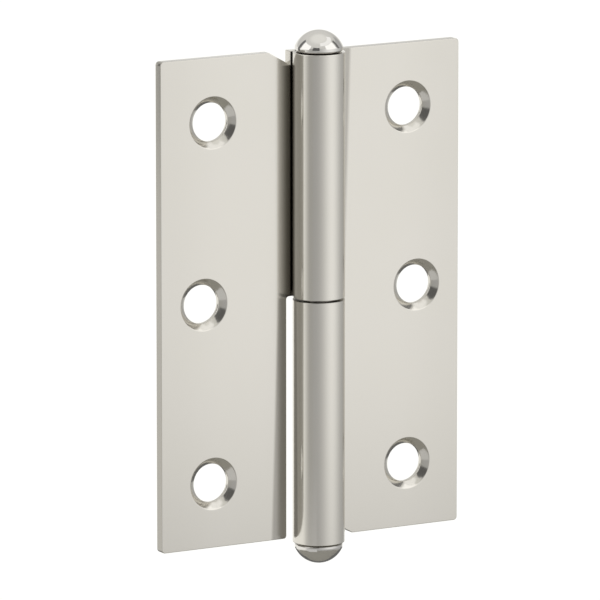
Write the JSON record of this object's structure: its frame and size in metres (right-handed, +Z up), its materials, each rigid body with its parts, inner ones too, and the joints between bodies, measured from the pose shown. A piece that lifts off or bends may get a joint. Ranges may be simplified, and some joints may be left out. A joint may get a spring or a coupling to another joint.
{
  "type": "lift off hinge",
  "caption": "Nickel-plated steel lift-off butt hinge with rolled knuckles, domed pin and cap, and countersunk screw holes in flat leaves.",
  "frame": {"origin": "on the pin axis at half the hinge's height", "axes": "+Z up the pin, +X along the frame leaf away from the pin, +Y through the leaves to their back faces"},
  "size_m": [0.055, 0.0084, 0.0874],
  "materials": {
    "satin_nickel": "satin nickel plate on steel sheet",
    "bright_nickel": "bright nickel plate on turned steel"
  },
  "bodies": {
    "frame_leaf": {"frame_leaf": "satin_nickel"},
    "hinge_pin": {"hinge_pin": "bright_nickel"},
    "door_leaf": {"door_leaf": "satin_nickel", "top_cap": "bright_nickel"}
  },
  "joints": [
    {"name": "swing", "type": "hinge", "parent": "frame_leaf", "child": "hinge_pin", "pos_m": [0, 0, 0], "axis": [0, 0, 1], "range_deg": [-90, 180]},
    {"name": "lift_off", "type": "slide", "parent": "hinge_pin", "child": "door_leaf", "axis": [0, 0, 1], "range_m": [0, 0.036]}
  ]
}
